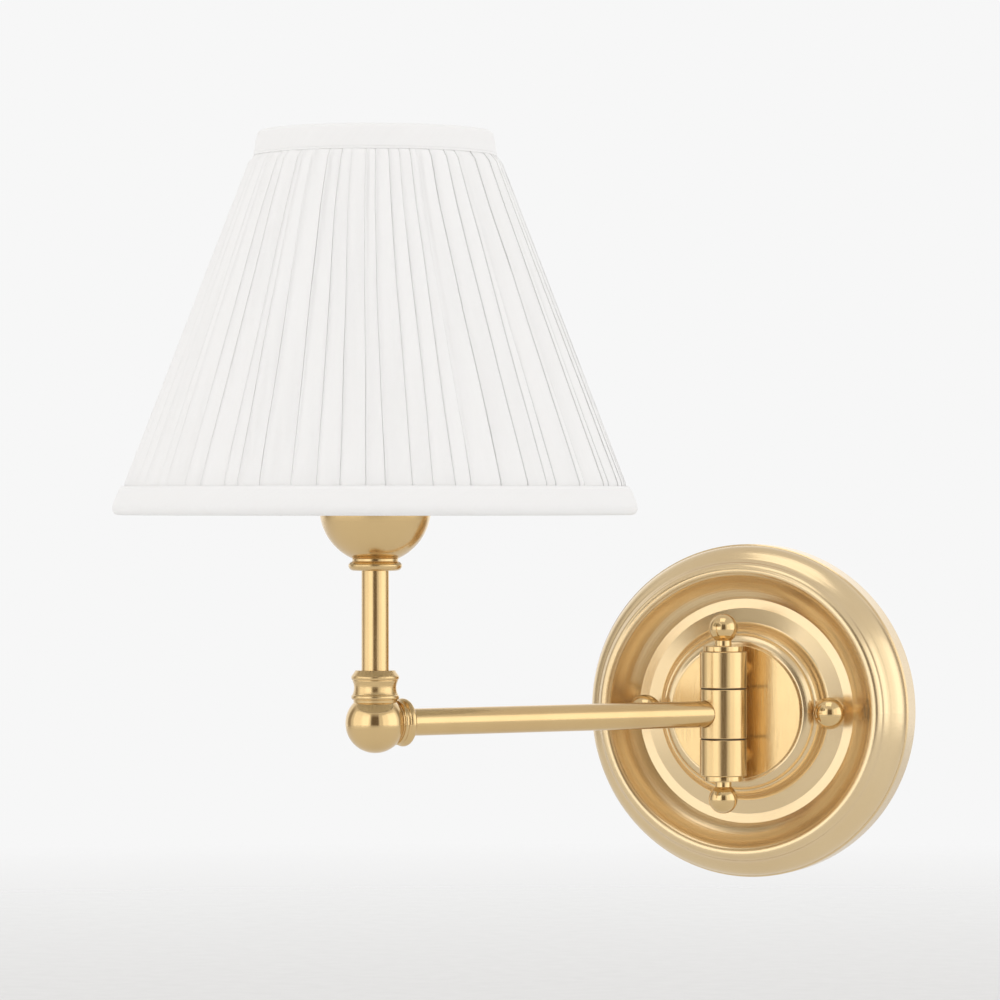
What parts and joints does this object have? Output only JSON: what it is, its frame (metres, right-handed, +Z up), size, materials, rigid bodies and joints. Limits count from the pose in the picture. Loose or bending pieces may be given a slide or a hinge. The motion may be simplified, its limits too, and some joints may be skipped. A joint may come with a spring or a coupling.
{
  "type": "swing arm wall sconce",
  "caption": "Wall sconce whose arm swings on a vertical barrel hinge and carries an upright socket with a pleated cone shade.",
  "frame": {"origin": "on the wall plane, at the centre of the round backplate and of the crossbar's two box screws", "axes": "+Z up, -Y out from the wall, +X to the right as seen from the room"},
  "size_m": [0.2623, 0.2691, 0.2907],
  "materials": {
    "satin_brass": "satin",
    "spun_brass": "satin, with fine turned rings",
    "polished_brass": "soft polish",
    "brushed_brass_disc": "brushed up and down",
    "raw_brass": "stamped",
    "zinc_steel": "zinc plated",
    "ground_green": "green dye",
    "nylon": "matt",
    "fibre": "matt",
    "wire_insulation": "matt",
    "phenolic": "moulded",
    "bulb_cap": "rolled",
    "bulb_glass": "frosted",
    "white_frame_wire": "white enamel",
    "liner_film": "matt film",
    "pleated_cloth": "pleated, matt",
    "trim_cloth": "plain folded tape"
  },
  "bodies": {
    "wall_side": {"backplate": "spun_brass", "centre_disc": "brushed_brass_disc", "backing_bar": "zinc_steel", "stem_nuts": "zinc_steel", "crossbar": "zinc_steel", "mounting_studs": "zinc_steel", "stud_lock_nuts": "zinc_steel", "ball_nuts": "polished_brass", "ground_screw": "ground_green", "upper_stem": "satin_brass", "lower_stem": "satin_brass", "upper_knuckle": "satin_brass", "lower_knuckle": "satin_brass", "hinge_pin": "zinc_steel", "top_finial": "polished_brass", "bottom_finial": "polished_brass", "spring_washer": "zinc_steel", "hinge_washers": "fibre"},
    "swing_arm": {"middle_knuckle": "satin_brass", "hinge_bushes": "nylon", "arm_tube": "satin_brass", "arm_wires": "wire_insulation", "elbow_ball": "polished_brass", "elbow_collar": "satin_brass", "post_collar": "satin_brass", "post_tube": "satin_brass", "cup_ring": "satin_brass", "socket_cup": "satin_brass", "cup_lock_nut": "satin_brass", "socket_bracket": "zinc_steel", "socket_base": "phenolic", "socket_screws": "zinc_steel", "socket_body": "phenolic", "socket_shell": "raw_brass", "socket_contact": "raw_brass", "socket_terminals": "raw_brass", "shade_ring": "satin_brass", "bulb_base": "bulb_cap", "bulb_glass": "bulb_glass"},
    "shade": {"fitter_ring": "white_frame_wire", "fitter_arms": "white_frame_wire", "shade_bottom_ring": "white_frame_wire", "shade_ribs": "white_frame_wire", "shade_top_ring": "white_frame_wire", "shade_liner": "liner_film", "shade_cover": "pleated_cloth", "shade_top_trim": "trim_cloth", "shade_bottom_trim": "trim_cloth"}
  },
  "joints": [
    {"name": "arm_swing", "type": "hinge", "parent": "wall_side", "child": "swing_arm", "pos_m": [0, -0.042, 0], "axis": [0, 0, 1], "range_deg": [-30, 104]},
    {"name": "shade_turn", "type": "hinge", "parent": "swing_arm", "child": "shade", "pos_m": [-0.09629, -0.16978, 0.12], "axis": [0, 0, 1], "continuous": true}
  ]
}
